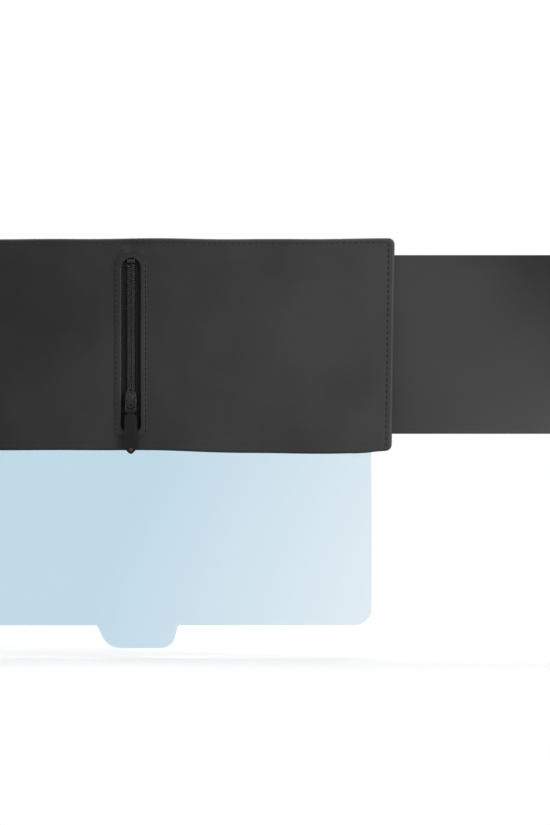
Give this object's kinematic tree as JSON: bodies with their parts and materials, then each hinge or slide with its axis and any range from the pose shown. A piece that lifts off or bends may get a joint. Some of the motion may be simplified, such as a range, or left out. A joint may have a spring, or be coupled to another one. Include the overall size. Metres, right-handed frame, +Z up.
{
  "type": "sun visor extender",
  "caption": "Flat black leather sleeve with a zipped pocket, rear straps, a blue see-through pane that slides down and an opaque shade that slides out sideways.",
  "frame": {"origin": "centre of the grip pad's rear face, which lies against the visor", "axes": "+X to the viewer's right, along the sleeve's length and out along the side shade; +Y to the rear, out of the grip pad's face and into the visor; +Z up"},
  "size_m": [0.7097, 0.0418, 0.3224],
  "materials": {
    "leather_black": "satin",
    "pull_leather": "satin",
    "grip_rubber": "matte",
    "board": "matte",
    "felt": "matte",
    "foam": "matte",
    "lining": "matte",
    "pane_tint": "gloss",
    "shade_black": "satin",
    "zip_tape": "matte",
    "zip_coil": "satin",
    "zip_metal": "gloss",
    "copper": "polished",
    "elastic": "matte",
    "hook": "matte",
    "loop": "matte"
  },
  "bodies": {
    "sleeve": {"front_cover": "leather_black", "back_cover": "leather_black", "grip_pad": "grip_rubber", "rear_board": "board", "middle_board": "board", "front_board": "board", "pane_rail_left": "board", "pane_rail_right": "board", "shade_rail_top": "board", "shade_rail_bottom": "board", "pane_felt": "felt", "shade_felt": "felt", "foam_frame": "foam", "pocket_lining": "lining", "zip_facing": "leather_black", "zip_tape_left": "zip_tape", "zip_tape_right": "zip_tape", "zip_coil_left": "zip_coil", "zip_coil_right": "zip_coil", "zip_box_stop": "zip_metal", "zip_end_stop_left": "zip_metal", "zip_end_stop_right": "zip_metal", "strap_anchor_left": "leather_black", "strap_anchor_right": "leather_black", "loop_pad_left": "loop", "loop_pad_right": "loop"},
    "pane": {"tinted_pane": "pane_tint"},
    "shade": {"side_shade": "shade_black"},
    "slider": {"zip_slider": "zip_metal"},
    "link": {"pull_link": "zip_metal"},
    "puller": {"leather_pull": "pull_leather", "pull_rivet": "copper"},
    "left_strap": {"strap_left": "elastic", "hook_pad_left": "hook"},
    "right_strap": {"strap_right": "elastic", "hook_pad_right": "hook"}
  },
  "joints": [
    {"name": "pane_slide", "type": "slide", "parent": "sleeve", "child": "pane", "axis": [0, 0, 1], "range_m": [0, 0.1375]},
    {"name": "shade_slide", "type": "slide", "parent": "sleeve", "child": "shade", "axis": [-1, 0, 0], "range_m": [0, 0.278]},
    {"name": "zip_slide", "type": "slide", "parent": "sleeve", "child": "slider", "axis": [0, 0, 1], "range_m": [0, 0.1004]},
    {"name": "link_swing", "type": "hinge", "parent": "slider", "child": "link", "pos_m": [0, -0.0174, -0.0432], "axis": [-1, 0, 0], "range_deg": [0, 110]},
    {"name": "pull_swing", "type": "hinge", "parent": "link", "child": "puller", "pos_m": [0, -0.0174, -0.0527], "axis": [-1, 0, 0], "range_deg": [0, 60]},
    {"name": "left_strap_open", "type": "hinge", "parent": "sleeve", "child": "left_strap", "pos_m": [-0.125, -0.0001, 0.08195], "axis": [1, 0, 0], "range_deg": [0, 100]},
    {"name": "right_strap_open", "type": "hinge", "parent": "sleeve", "child": "right_strap", "pos_m": [0.125, -0.0001, 0.08195], "axis": [1, 0, 0], "range_deg": [0, 100]}
  ]
}
